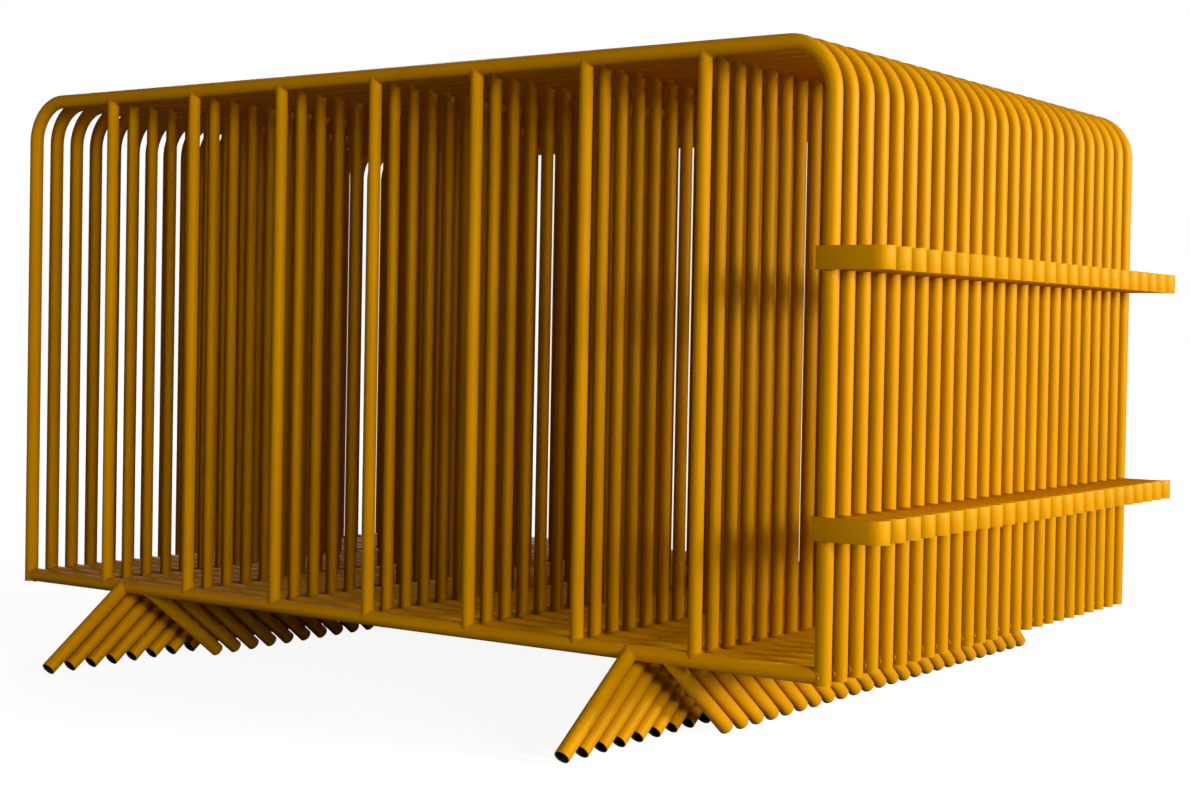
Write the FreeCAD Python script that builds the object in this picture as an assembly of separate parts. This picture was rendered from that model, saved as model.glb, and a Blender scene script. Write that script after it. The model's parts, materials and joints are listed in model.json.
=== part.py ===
import FreeCAD, Part
import math
import os

# A nested stack of steel crowd barriers. X runs along a barrier, Y from the front barrier to the rear
# one, Z up. The origin is on the floor, at the middle of the stack's outline. Millimetres and degrees.

# Stack
barrier_count = 25
stack_pitch = 49.0  # from one barrier to the next

# Frame hoop, bottom rail and legs: one size of round tube
tube_diameter = 25.4
tube_wall = 1.6
post_spacing = 1760.0  # between the axes of the two end posts
rail_spacing = 922.0  # between the axes of the top tube and the bottom rail
bend_radius = 76.2  # of the hoop's top corners, to the tube's axis

# Upright bars
bar_count = 7
bar_diameter = 21.3
bar_wall = 1.2

# Feet: each has a front leg and a back leg, side by side, so that stacked barriers clear each other
leg_length = 222.0  # along the leg, from the rail's axis to its cut end
leg_slope = 37.3  # degrees below level
foot_spacing = 1155.0  # between the middles of the left foot and the right foot
foot_stagger = 67.0  # along the rail, between a foot's two legs

# Hooks: flat straps across the front of the right end post, bent back at the free end
hook_height = 35.0
hook_thickness = 6.0
hook_reach = 100.5  # from the post's axis to the outer face of the bent end
hook_inner_end = 15.8  # from the post's axis to the end welded past it
hook_bend_radius = 24.5  # outside
hook_tail = 1.0  # straight length after the bend
upper_hook_level = 606.0  # middle of the strap, above the bottom rail's axis
lower_hook_level = 215.0

# Clearance left for the weld between a coped tube end, or a strap, and the tube it meets
weld_gap = 0.2

tube_radius = tube_diameter / 2
slope = math.radians(leg_slope)
rail_level = leg_length * math.sin(slope) + tube_radius * math.cos(slope)
top_level = rail_level + rail_spacing
half_length = post_spacing / 2
frame_shift = (tube_radius - hook_reach) / 2  # centres the outline, which the hooks lengthen to the right
front_y = -stack_pitch * (barrier_count - 1) / 2


def rod(start, end, diameter):
    """A solid round bar between two points."""
    run = end - start
    return Part.makeCylinder(diameter / 2, run.Length, start, run)


def straight_tube(start, end, diameter, wall):
    """A hollow tube between two points."""
    return rod(start, end, diameter).cut(rod(start, end, diameter - 2 * wall))


def cope_tool(start, end):
    """The room that a frame tube and its weld take from what ends on it, with the tube's ends passed."""
    past = (end - start).normalize() * tube_diameter
    return rod(start - past, end + past, tube_diameter + 2 * weld_gap)


def bottom_rail_ends():
    """The rail's axis, between the axes of the end posts."""
    left = FreeCAD.Vector(-half_length, 0, rail_level)
    right = FreeCAD.Vector(half_length, 0, rail_level)
    return left, right


def top_tube_ends():
    """The top tube's axis, without the bends."""
    left = FreeCAD.Vector(-half_length + bend_radius, 0, top_level)
    right = FreeCAD.Vector(half_length - bend_radius, 0, top_level)
    return left, right


def post_ends(side):
    """An end post's axis, from its open foot, level with the rail's underside, to the bend."""
    foot = FreeCAD.Vector(side * half_length, 0, rail_level - tube_radius)
    bend = FreeCAD.Vector(side * half_length, 0, top_level - bend_radius)
    return foot, bend


def bend_arc(side):
    """A quarter circle from the end post's axis to the top tube's axis."""
    post_end = post_ends(side)[1]
    top_end = top_tube_ends()[0 if side < 0 else 1]
    centre = FreeCAD.Vector(top_end.x, 0, post_end.z)
    across = bend_radius * math.sin(math.radians(45))
    middle = centre + FreeCAD.Vector(side * across, 0, across)
    return Part.Arc(post_end, middle, top_end).toShape()


def bent_rod(diameter):
    """A solid round bar along the hoop's whole axis."""
    foot, left_bend = post_ends(-1)
    route = [
        Part.makeLine(foot, left_bend),
        bend_arc(-1),
        Part.makeLine(*top_tube_ends()),
        bend_arc(1),
        Part.makeLine(*reversed(post_ends(1))),
    ]
    outline = Part.Circle(foot, FreeCAD.Vector(0, 0, 1), diameter / 2).toShape()
    return Part.Wire(route).makePipe(Part.Face(Part.Wire(outline)))


def frame_hoop():
    """Both end posts and the top tube, bent from one tube."""
    return bent_rod(tube_diameter).cut(bent_rod(tube_diameter - 2 * tube_wall))


def bottom_rail():
    """A straight tube, coped to the end posts."""
    rail = straight_tube(*bottom_rail_ends(), tube_diameter, tube_wall)
    for side in (-1, 1):
        rail = rail.cut(cope_tool(*post_ends(side)))
    return rail


def upright_bars():
    """Equally spaced tubes, coped to the top tube and the bottom rail."""
    spacing = post_spacing / (bar_count + 1)
    bars = []
    for number in range(1, bar_count + 1):
        x = -half_length + number * spacing
        low = FreeCAD.Vector(x, 0, rail_level)
        high = FreeCAD.Vector(x, 0, top_level)
        bar = straight_tube(low, high, bar_diameter, bar_wall)
        bar = bar.cut(cope_tool(*bottom_rail_ends()))
        bars.append(bar.cut(cope_tool(*top_tube_ends())))
    return Part.makeCompound(bars)


def leg(foot_side, way):
    """A tube from the rail down to the floor, forwards (way -1) or backwards (way 1), cut off square."""
    x = foot_side * foot_spacing / 2 + way * foot_stagger / 2
    top = FreeCAD.Vector(x, 0, rail_level)
    along = FreeCAD.Vector(0, way * math.cos(slope), -math.sin(slope))
    tube = straight_tube(top, top + along * leg_length, tube_diameter, tube_wall)
    return tube.cut(cope_tool(*bottom_rail_ends()))


def hook(level):
    """A strap across the front of the right post, bent back round where a neighbour's post goes."""
    back = -tube_radius - weld_gap
    front = back - hook_thickness
    outside = half_length + hook_reach
    inside = outside - hook_thickness
    bend_x = outside - hook_bend_radius
    bend_y = front + hook_bend_radius
    tip = bend_y + hook_tail
    turn = math.radians(45)
    outer_middle = hook_bend_radius * math.sin(turn)
    inner_middle = (hook_bend_radius - hook_thickness) * math.sin(turn)
    z = rail_level + level - hook_height / 2

    def point(x, y):
        return FreeCAD.Vector(x, y, z)

    start_x = half_length - hook_inner_end
    outline = [
        Part.makeLine(point(start_x, front), point(bend_x, front)),
        Part.Arc(
            point(bend_x, front),
            point(bend_x + outer_middle, bend_y - outer_middle),
            point(outside, bend_y),
        ).toShape(),
        Part.makeLine(point(outside, bend_y), point(outside, tip)),
        Part.makeLine(point(outside, tip), point(inside, tip)),
        Part.makeLine(point(inside, tip), point(inside, bend_y)),
        Part.Arc(
            point(inside, bend_y),
            point(bend_x + inner_middle, bend_y - inner_middle),
            point(bend_x, back),
        ).toShape(),
        Part.makeLine(point(bend_x, back), point(start_x, back)),
        Part.makeLine(point(start_x, back), point(start_x, front)),
    ]
    return Part.Face(Part.Wire(outline)).extrude(FreeCAD.Vector(0, 0, hook_height))


def barrier_pieces():
    """One barrier, by piece, with its tubes' middle plane at y = 0."""
    return {
        "frame_hoop": frame_hoop(),
        "bottom_rail": bottom_rail(),
        "upright_bars": upright_bars(),
        "front_leg_left": leg(-1, -1),
        "front_leg_right": leg(1, -1),
        "back_leg_left": leg(-1, 1),
        "back_leg_right": leg(1, 1),
        "upper_hook": hook(upper_hook_level),
        "lower_hook": hook(lower_hook_level),
    }


def save(shape, name, number):
    """Writes a node at its barrier's place in the stack. Number 0 is the front barrier."""
    placed = shape.copy()
    placed.translate(FreeCAD.Vector(frame_shift, front_y + number * stack_pitch, 0))
    placed.exportStep(f"parts/{name}.step")


os.makedirs("parts", exist_ok=True)
pieces = barrier_pieces()

# The front barrier has a node for each kind of piece
for name, shape in pieces.items():
    save(shape, name, 0)

# Each barrier behind it has its hoop, and a group of the separate pieces welded to that hoop
members = Part.makeCompound([shape for name, shape in pieces.items() if name != "frame_hoop"])
for number in range(1, barrier_count):
    save(pieces["frame_hoop"], f"frame_hoop_{number + 1:02d}", number)
    save(members, f"welded_members_{number + 1:02d}", number)
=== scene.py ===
import json
import math

import bpy
from mathutils import Matrix, Vector

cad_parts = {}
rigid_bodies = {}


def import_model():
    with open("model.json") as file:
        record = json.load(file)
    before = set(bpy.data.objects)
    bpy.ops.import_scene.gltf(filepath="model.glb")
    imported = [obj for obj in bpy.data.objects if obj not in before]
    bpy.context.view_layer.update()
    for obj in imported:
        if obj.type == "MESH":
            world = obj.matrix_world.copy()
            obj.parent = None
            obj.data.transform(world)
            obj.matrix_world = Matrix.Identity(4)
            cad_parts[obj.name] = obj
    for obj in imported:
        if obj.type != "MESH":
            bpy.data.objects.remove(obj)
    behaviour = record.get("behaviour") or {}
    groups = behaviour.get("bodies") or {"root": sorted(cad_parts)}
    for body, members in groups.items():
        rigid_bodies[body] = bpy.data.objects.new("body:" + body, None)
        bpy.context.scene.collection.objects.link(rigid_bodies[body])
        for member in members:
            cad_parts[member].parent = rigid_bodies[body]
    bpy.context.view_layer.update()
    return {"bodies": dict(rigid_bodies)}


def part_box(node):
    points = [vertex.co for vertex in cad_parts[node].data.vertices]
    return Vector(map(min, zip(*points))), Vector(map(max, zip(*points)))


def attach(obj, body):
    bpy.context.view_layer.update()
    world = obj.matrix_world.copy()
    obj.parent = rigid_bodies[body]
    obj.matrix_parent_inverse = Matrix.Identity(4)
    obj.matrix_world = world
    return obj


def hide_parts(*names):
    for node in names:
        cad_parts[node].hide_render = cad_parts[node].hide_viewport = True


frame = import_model()


# Frame hoop: one 1 in steel tube, bent at both top corners into the left post, the top tube and the
# right post. Its ends are cut square, level with the bottom rail's underside, and stay open. It wears
# the powder coat of the whole weldment; the bore is bare oxide steel, its colour made near black as
# painted shade.
hoop_low, hoop_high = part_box("frame_hoop")
tube_radius = (hoop_high[1] - hoop_low[1]) / 2
tube_wall = 0.0016
tube_sides = 32
bend_radius = 0.0762
bend_steps = 14
middle_y = (hoop_low[1] + hoop_high[1]) / 2
left_x = hoop_low[0] + tube_radius
right_x = hoop_high[0] - tube_radius
top_z = hoop_high[2] - tube_radius
rail_z = hoop_low[2] + tube_radius

coat_deep = (0.53, 0.222, 0.0004, 1)
coat_bright = (0.60, 0.255, 0.0008, 1)
coat_glint = (1, 0.52, 0.03, 1)
scuffed_steel = (0.13, 0.12, 0.11, 1)
# The bore's oxide and rust colours are made near black: painted shade for the inside of the tubes.
bore_oxide_and_painted_shade = (0.005, 0.0035, 0.0025, 1)
bore_rust_and_painted_shade = (0.015, 0.008, 0.004, 1)
peel_scale = 520
cloud_scale = 5
grit_scale = 240
rust_scale = 90
skin_depth = 0.0003
rust_depth = 0.0004
scuff_height = 0.006


class Finish:
    """One output of a node in a finish. Sums and products of outputs are written as they read."""

    def __init__(self, tree, output=None):
        self.tree = tree
        self.output = output

    def node(self, kind, settings=None, inputs=None, output=0):
        """A new node: its settings are made first, then its sockets' values and links."""
        made = self.tree.nodes.new(kind)
        for name, value in (settings or {}).items():
            setattr(made, name, value)
        for name, value in (inputs or {}).items():
            if isinstance(value, Finish):
                self.tree.links.new(value.output, made.inputs[name])
            else:
                made.inputs[name].default_value = value
        return Finish(self.tree, made.outputs[output])

    def maths(self, operation, first, second):
        return self.node("ShaderNodeMath", {"operation": operation}, {0: first, 1: second})

    def __add__(self, other):
        return self.maths("ADD", self, other)

    def __radd__(self, other):
        return self.maths("ADD", other, self)

    def __rsub__(self, other):
        return self.maths("SUBTRACT", other, self)

    def __mul__(self, other):
        return self.maths("MULTIPLY", self, other)

    def between(self, low, high):
        """0 at low and under, 1 at high and over, smooth on the way."""
        settings = {"interpolation_type": "SMOOTHSTEP"}
        inputs = {"Value": self, "From Min": low, "From Max": high}
        return self.node("ShaderNodeMapRange", settings, inputs)

    def blend(self, first, second):
        """The colour first where this is 0, and second where it is 1."""
        inputs = {"Factor": self, 6: first, 7: second}
        return self.node("ShaderNodeMix", {"data_type": "RGBA"}, inputs, 2)

    def noise(self, scale, detail):
        """Noise over the steel itself, this many lumps to the metre."""
        inputs = {"Vector": self, "Scale": scale, "Detail": detail}
        return self.node("ShaderNodeTexNoise", inputs=inputs)

    def feed(self, shader, socket):
        self.tree.links.new(self.output, shader.inputs[socket])


def new_finish(name):
    """A material, its shader, and the place on the steel that its patterns read."""
    material = bpy.data.materials.new(name)
    material.use_nodes = True
    place = Finish(material.node_tree).node("ShaderNodeTexCoord", output="Object")
    return material, material.node_tree.nodes["Principled BSDF"], place


powder_coat, shader, place = new_finish("powder_coat")
height = place.node("ShaderNodeSeparateXYZ", inputs={0: place}, output="Z")
clouds = place.noise(cloud_scale, 3)
peel = place.noise(peel_scale, 1.5)
grit = place.noise(grit_scale, 4)
scuffs = (1 - height.between(0, scuff_height)) * grit.between(0.4, 0.6)
depth = clouds.between(0.3, 0.7) * 0.75 + peel.between(0.35, 0.65) * 0.25
scuffs.blend(depth.blend(coat_deep, coat_bright), scuffed_steel).feed(shader, "Base Color")
(0.4 + clouds * 0.1 + scuffs * 0.3).feed(shader, "Roughness")
skin = peel * 0.8 + clouds * 0.2
relief = {"Strength": 0.25, "Distance": skin_depth, "Height": skin}
skin.node("ShaderNodeBump", inputs=relief).feed(shader, "Normal")
shader.inputs["Specular IOR Level"].default_value = 0.3
shader.inputs["Specular Tint"].default_value = coat_glint

# Tube bore: bare oxide steel with rust patches, both near black, as painted shade for the inside of the
# tube.
tube_bore, shader, place = new_finish("tube_bore")
rust = place.noise(rust_scale, 5)
rust.between(0.45, 0.7).blend(bore_oxide_and_painted_shade, bore_rust_and_painted_shade).feed(shader, "Base Color")
(0.55 + rust * 0.25).feed(shader, "Roughness")
relief = {"Strength": 0.4, "Distance": rust_depth, "Height": rust}
rust.node("ShaderNodeBump", inputs=relief).feed(shader, "Normal")


def begin():
    """Leaves nothing selected, for a new primitive to start from."""
    if bpy.context.mode != "OBJECT":
        bpy.ops.object.mode_set(mode="OBJECT")
    bpy.ops.object.select_all(action="DESELECT")


def start_tube(radius, location, turn=(0, 0, 0)):
    """The first ring of a tube, all of it selected, ready to be extruded."""
    begin()
    bpy.ops.mesh.primitive_circle_add(
        vertices=tube_sides, radius=radius, location=location, rotation=turn
    )
    bpy.ops.object.mode_set(mode="EDIT")


def extrude(x, y, z):
    """Draws the selected ring or edge on into a new stretch."""
    bpy.ops.mesh.extrude_region_move(TRANSFORM_OT_translate={"value": (x, y, z)})


def bend(radius_to_axis, centre, axis, steps):
    """Turns the selected ring or edge on through a quarter circle."""
    bpy.ops.mesh.spin(steps=steps, angle=math.pi / 2, center=centre, axis=axis)


def settle(piece):
    """Puts a piece's place, turn and scale into its mesh."""
    begin()
    piece.select_set(True)
    bpy.context.view_layer.objects.active = piece
    bpy.ops.object.transform_apply(location=True, rotation=True, scale=True)


def apply_modifier(piece, kind, **settings):
    """Adds a modifier to a piece and applies it at once."""
    bpy.context.view_layer.objects.active = piece
    modifier = piece.modifiers.new(kind.lower(), kind)
    for name, value in settings.items():
        setattr(modifier, name, value)
    bpy.ops.object.modifier_apply(modifier=modifier.name)


def give_wall(piece, wall):
    """Turns a tube's skin into a tube with a wall and a dark bore."""
    bpy.ops.object.mode_set(mode="EDIT")
    bpy.ops.mesh.select_all(action="SELECT")
    bpy.ops.mesh.normals_make_consistent(inside=False)
    settle(piece)
    piece.data.materials.append(powder_coat)
    piece.data.materials.append(tube_bore)
    apply_modifier(
        piece, "SOLIDIFY", thickness=wall, offset=-1, material_offset=1, material_offset_rim=0
    )


sharp_angle = 0.9
smooth_angle = math.radians(35)


def ease(piece, width):
    """Rounds sharp edges a little, as blasting and the coat leave them, and smooths the rest."""
    apply_modifier(
        piece, "BEVEL", width=width, segments=2, limit_method="ANGLE", angle_limit=sharp_angle
    )
    begin()
    piece.select_set(True)
    bpy.context.view_layer.objects.active = piece
    bpy.ops.object.shade_smooth_by_angle(angle=smooth_angle)


def join(pieces, name):
    """Makes one piece of several that are welded together."""
    begin()
    for piece in pieces:
        piece.select_set(True)
    bpy.context.view_layer.objects.active = pieces[0]
    if len(pieces) > 1:
        bpy.ops.object.join()
    pieces[0].name = name
    pieces[0].data.name = name
    return pieces[0]


rim_ease = 0.0003
start_tube(tube_radius, (left_x, middle_y, hoop_low[2]))
extrude(0, 0, top_z - bend_radius - hoop_low[2])
bend(bend_radius, (left_x + bend_radius, middle_y, top_z - bend_radius), (0, -1, 0), bend_steps)
extrude(right_x - left_x - 2 * bend_radius, 0, 0)
bend(bend_radius, (right_x - bend_radius, middle_y, top_z - bend_radius), (0, -1, 0), bend_steps)
extrude(0, 0, hoop_low[2] - top_z + bend_radius)
hoop = bpy.context.object
give_wall(hoop, tube_wall)
ease(hoop, rim_ease)
join([hoop], "bent_hoop")
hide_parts("frame_hoop")
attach(hoop, "barrier_01")


# Weld beads: a fillet runs round every tube end, along the line where the two tubes meet, and is coated
# with the rest. One bead lies in the saddle that the ended tube makes on the tube it stands on.
bead_radius = 0.0013
bead_outset = bead_radius * 0.25
bead_parts = 20
bead_sides = 4


def bead(branch_radius, at, turn):
    """A bead round a tube along the turned Z, where it stands on a frame tube along the turned X."""
    begin()
    bpy.ops.mesh.primitive_torus_add(
        major_segments=bead_parts,
        minor_segments=bead_sides,
        major_radius=branch_radius + bead_outset,
        minor_radius=bead_radius,
        location=at,
        rotation=turn,
    )
    ring = bpy.context.object
    for vertex in ring.data.vertices:
        across = min(abs(vertex.co.y), tube_radius)
        vertex.co.z += math.sqrt(tube_radius**2 - across**2)
    settle(ring)
    ring.data.materials.append(powder_coat)
    bpy.ops.object.shade_smooth()
    return ring


# Bottom rail: a straight piece of the same tube, its ends coped to fit round the two posts and welded.
rail_length = right_x - left_x
cope_gap = 0.0002
cope_ease = 0.0002


def cope(piece, at, turn):
    """Cuts a piece's end to the round of the frame tube that it meets."""
    begin()
    bpy.ops.mesh.primitive_cylinder_add(
        vertices=2 * tube_sides,
        radius=tube_radius + cope_gap,
        depth=2 * rail_length,
        location=at,
        rotation=turn,
    )
    cutter = bpy.context.object
    apply_modifier(piece, "BOOLEAN", operation="DIFFERENCE", object=cutter, solver="EXACT")
    bpy.data.objects.remove(cutter)


quarter = math.pi / 2
start_tube(tube_radius, (left_x, middle_y, rail_z), (0, quarter, 0))
extrude(rail_length, 0, 0)
rail = bpy.context.object
give_wall(rail, tube_wall)
for x in (left_x, right_x):
    cope(rail, (x, middle_y, rail_z), (0, 0, 0))
ease(rail, cope_ease)
rail_beads = [
    bead(tube_radius, (left_x, middle_y, rail_z), (0, quarter, 0)),
    bead(tube_radius, (right_x, middle_y, rail_z), (0, -quarter, 0)),
]
join([rail, *rail_beads], "lower_rail")
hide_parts("bottom_rail")
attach(rail, "barrier_01")


# Upright bars: thinner tubes, coped and welded between the rail and the top tube, evenly spaced.
bars_low, bars_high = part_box("upright_bars")
bar_radius = (bars_high[1] - bars_low[1]) / 2
bar_wall = 0.0012
bar_count = 7
bar_spacing = (bars_high[0] - bars_low[0] - 2 * bar_radius) / (bar_count - 1)

bars = []
bar_beads = []
for number in range(bar_count):
    x = bars_low[0] + bar_radius + number * bar_spacing
    start_tube(bar_radius, (x, middle_y, rail_z))
    extrude(0, 0, top_z - rail_z)
    bars.append(bpy.context.object)
    give_wall(bars[-1], bar_wall)
    bar_beads.append(bead(bar_radius, (x, middle_y, rail_z), (0, 0, 0)))
    bar_beads.append(bead(bar_radius, (x, middle_y, top_z), (math.pi, 0, 0)))
uprights = join(bars, "uprights")
cope(uprights, (0, middle_y, rail_z), (0, quarter, 0))
cope(uprights, (0, middle_y, top_z), (0, quarter, 0))
ease(uprights, cope_ease)
join([uprights, *bar_beads], "uprights")
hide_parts("upright_bars")
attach(uprights, "barrier_01")


# Legs: four short tubes, splayed forwards and backwards from the rail and welded to it. They are cut
# off square, so each meets the ground with the lowest point of its open end, where the coat wears.
leg_slope = math.radians(37.3)
leg_length = 0.222

legs = []
for side in ("left", "right"):
    for end, way in (("front", -1), ("back", 1)):
        node = f"{end}_leg_{side}"
        leg_low, leg_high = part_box(node)
        x = (leg_low[0] + leg_high[0]) / 2
        run = Vector((0, way * math.cos(leg_slope), -math.sin(leg_slope)))
        turn = (math.atan2(-run.y, run.z), 0, 0)
        start_tube(tube_radius, (x, middle_y, rail_z), turn)
        extrude(*(run * leg_length))
        leg = bpy.context.object
        give_wall(leg, tube_wall)
        cope(leg, (x, middle_y, rail_z), (0, quarter, 0))
        ease(leg, rim_ease)
        join([leg, bead(tube_radius, (x, middle_y, rail_z), turn)], f"{side}_{end}_leg")
        legs.append(leg)
        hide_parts(node)
        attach(leg, "barrier_01")


# Hooks: two flat straps, set across the front of the right post, each bent back at its free end so that
# the next barrier's post drops in behind it. Each is held by an upright bead on both sides of the post.
hook_thickness = 0.006
hook_bend = 0.0245
hook_bend_steps = 8
hook_tail = 0.001
hook_ease = 0.0008
end_edge_reach = 0.001
seam_offset = tube_radius * 0.62
seam_share = 0.9
seam_sides = 8
seam_ease = bead_radius * 0.6

hooks = []
for name in ("upper", "lower"):
    hook_low, hook_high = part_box(f"{name}_hook")
    hook_height = hook_high[2] - hook_low[2]
    flat_end = hook_high[0] - hook_bend
    begin()
    bpy.ops.mesh.primitive_plane_add(
        size=1,
        location=((hook_low[0] + flat_end) / 2, hook_low[1], (hook_low[2] + hook_high[2]) / 2),
        rotation=(quarter, 0, 0),
    )
    hook = bpy.context.object
    hook.scale = (flat_end - hook_low[0], hook_height, 1)
    settle(hook)
    for edge in hook.data.edges:
        edge.select = all(hook.data.vertices[v].co.x > flat_end - end_edge_reach for v in edge.vertices)
    for vertex in hook.data.vertices:
        vertex.select = vertex.co.x > flat_end - end_edge_reach
    for face in hook.data.polygons:
        face.select = False
    bpy.ops.object.mode_set(mode="EDIT")
    bend(hook_bend, (flat_end, hook_low[1] + hook_bend, 0), (0, 0, -1), hook_bend_steps)
    extrude(0, hook_tail, 0)
    settle(hook)
    hook.data.materials.append(powder_coat)
    apply_modifier(hook, "SOLIDIFY", thickness=hook_thickness, offset=-1)
    ease(hook, hook_ease)
    hook_beads = []
    for side in (-1, 1):
        begin()
        bpy.ops.mesh.primitive_cylinder_add(
            vertices=seam_sides,
            radius=bead_radius,
            depth=hook_height * seam_share,
            location=(
                right_x + side * seam_offset,
                hook_low[1] + hook_thickness + bead_radius * 0.5,
                (hook_low[2] + hook_high[2]) / 2,
            ),
        )
        strip = bpy.context.object
        settle(strip)
        strip.data.materials.append(powder_coat)
        ease(strip, seam_ease)
        hook_beads.append(strip)
    join([hook, *hook_beads], f"{name}_strap_hook")
    hooks.append(hook)
    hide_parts(f"{name}_hook")
    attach(hook, "barrier_01")


# The other barriers: each is the same weldment, made on the same jig and nested behind the one in
# front, its legs lying beside its neighbours' legs.
begin()
for piece in [hoop, rail, uprights, *legs, *hooks]:
    piece.select_set(True)
bpy.context.view_layer.objects.active = hoop
bpy.ops.object.duplicate()
weldment = join(bpy.context.selected_objects, "weldment")
barriers = sorted(name for name in frame["bodies"] if name != "barrier_01")
for body in barriers:
    number = body[-2:]
    begin()
    weldment.select_set(True)
    bpy.context.view_layer.objects.active = weldment
    bpy.ops.object.duplicate()
    piece = bpy.context.object
    node_low, node_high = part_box(f"frame_hoop_{number}")
    piece.location.y = (node_low[1] + node_high[1]) / 2 - middle_y
    settle(piece)
    piece.name = f"barrier_weldment_{number}"
    piece.data.name = piece.name
    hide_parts(f"frame_hoop_{number}", f"welded_members_{number}")
    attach(piece, body)
bpy.data.objects.remove(weldment)


# Floor: a plain pale studio floor that runs out to a white surround. It is white to the camera further
# out, keeps the stack's shadow, and gives back little light from below.
floor_size = 60
floor_grey = (0.22, 0.22, 0.22, 1)
floor_glow = 0.91
far_glow = 0.12
room_light = 0.04

begin()
bpy.ops.mesh.primitive_plane_add(size=floor_size, location=(0, 0, 0))
floor = bpy.context.object
floor.name = "studio_floor"
pale, shader, place = new_finish("studio_floor")
shader.inputs["Base Color"].default_value = floor_grey
shader.inputs["Roughness"].default_value = 1
shader.inputs["Specular IOR Level"].default_value = 0
shader.inputs["Emission Color"].default_value = (1, 1, 1, 1)
away = place.node("ShaderNodeVectorMath", {"operation": "LENGTH"}, {0: place}, "Value")
camera_sees = place.node("ShaderNodeLightPath", output="Is Camera Ray")
(camera_sees * (floor_glow + away.between(2.5, 7) * far_glow)).feed(shader, "Emission Strength")
floor.data.materials.append(pale)

world = bpy.data.worlds.new("studio")
bpy.context.scene.world = world
world.use_nodes = True
tree = world.node_tree
seen = Finish(tree).node("ShaderNodeLightPath", output="Is Camera Ray")
room = tree.nodes["Background"]
room.inputs["Color"].default_value = (1, 1, 1, 1)
(room_light + seen * (1 - room_light)).feed(room, "Strength")


# Studio light and camera: a soft key lamp to the right of the barriers and a little behind them, a fill
# to the right of their front, weak lamps before them and behind them on the left, and the even light of
# the room. The camera stands to the right of the stack's front, a little over half the stack's height.
lamp_distance = 9
lamp_aim = Vector((0, 0, 0.5))


def lamp(name, turn, rise, size, strength):
    """A soft square lamp, turned from the stack's front to its right, in degrees.

    At strength 1, white that faces the lamp comes out white."""
    begin()
    turn, rise = math.radians(turn), math.radians(rise)
    flat = lamp_distance * math.cos(rise)
    level = lamp_distance * math.sin(rise) + lamp_aim.z
    at = Vector((flat * math.sin(turn), -flat * math.cos(turn), level))
    bpy.ops.object.light_add(type="AREA", location=at)
    light = bpy.context.object
    light.name = name
    light.data.size = size
    light.data.energy = strength * math.pi**2 * lamp_distance**2
    light.rotation_euler = (lamp_aim - at).to_track_quat("-Z", "Y").to_euler()


lamp("key", 106, 11, 1.6, 1)
lamp("fill", 70, 9, 2, 0.6)
lamp("front", 4, 10, 2, 0.2)
lamp("back", 235, 30, 3, 0.3)

camera_turn = math.radians(35.23)
camera_tilt = math.radians(-1.07)
camera_roll = math.radians(1.04)
camera_place = (2.1928, -3.0944, 0.6307)
camera_lens = 59.31
camera_shift = -0.02235
begin()
bpy.ops.object.camera_add(location=camera_place)
camera = bpy.context.object
turned = Matrix.Rotation(camera_turn, 4, "Z") @ Matrix.Rotation(quarter + camera_tilt, 4, "X")
camera.rotation_euler = (turned @ Matrix.Rotation(camera_roll, 4, "Z")).to_euler()
camera.data.lens = camera_lens
camera.data.shift_y = camera_shift
bpy.context.scene.camera = camera
bpy.context.scene.view_settings.view_transform = "Standard"
